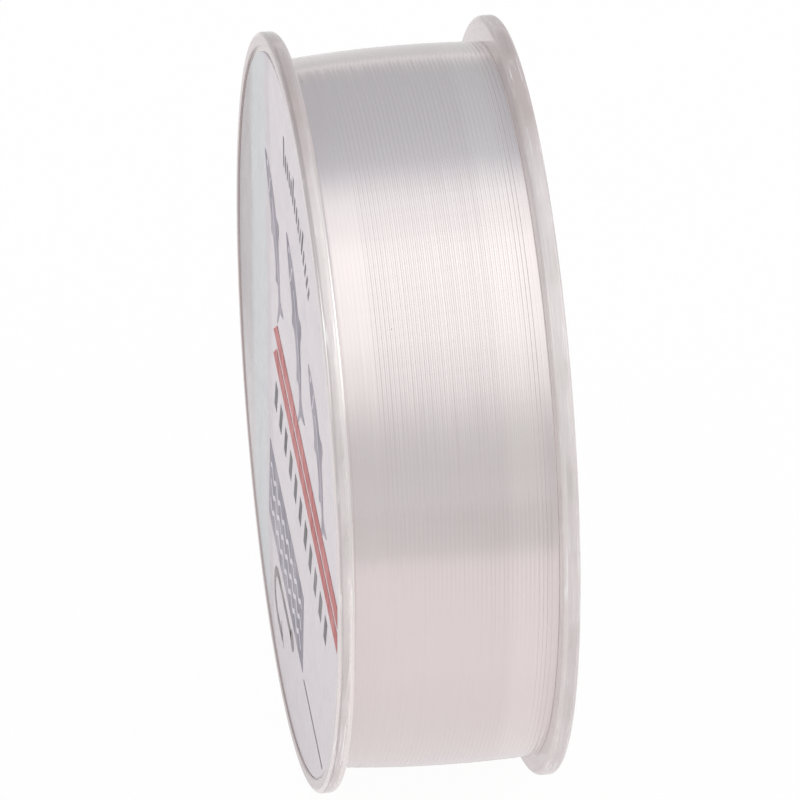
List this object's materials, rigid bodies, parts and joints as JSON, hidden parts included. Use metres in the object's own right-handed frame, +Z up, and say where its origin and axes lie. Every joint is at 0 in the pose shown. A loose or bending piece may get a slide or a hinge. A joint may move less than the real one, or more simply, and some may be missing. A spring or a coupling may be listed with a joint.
{
  "type": "fishing line spool",
  "caption": "Clear two-flange spool wound nearly full with clear nylon line, with a round printed label on the front flange and an arbor hole open at the rear.",
  "frame": {"origin": "centre of the spool, on its axis, midway between the two rim faces", "axes": "+Y along the axis from the labelled front face to the rear face, +Z up as the spool stands on its rims"},
  "size_m": [0.07, 0.0218, 0.07],
  "materials": {
    "clear_plastic": "clear moulded polystyrene, glossy",
    "nylon_line": "clear drawn nylon, glossy, milky where many layers lie on each other",
    "label": "glossy printed film"
  },
  "bodies": {
    "root": {"rear_half": "clear_plastic", "front_half": "clear_plastic", "inner_line": "nylon_line", "outer_turns": "nylon_line", "front_label": "label"}
  },
  "joints": []
}
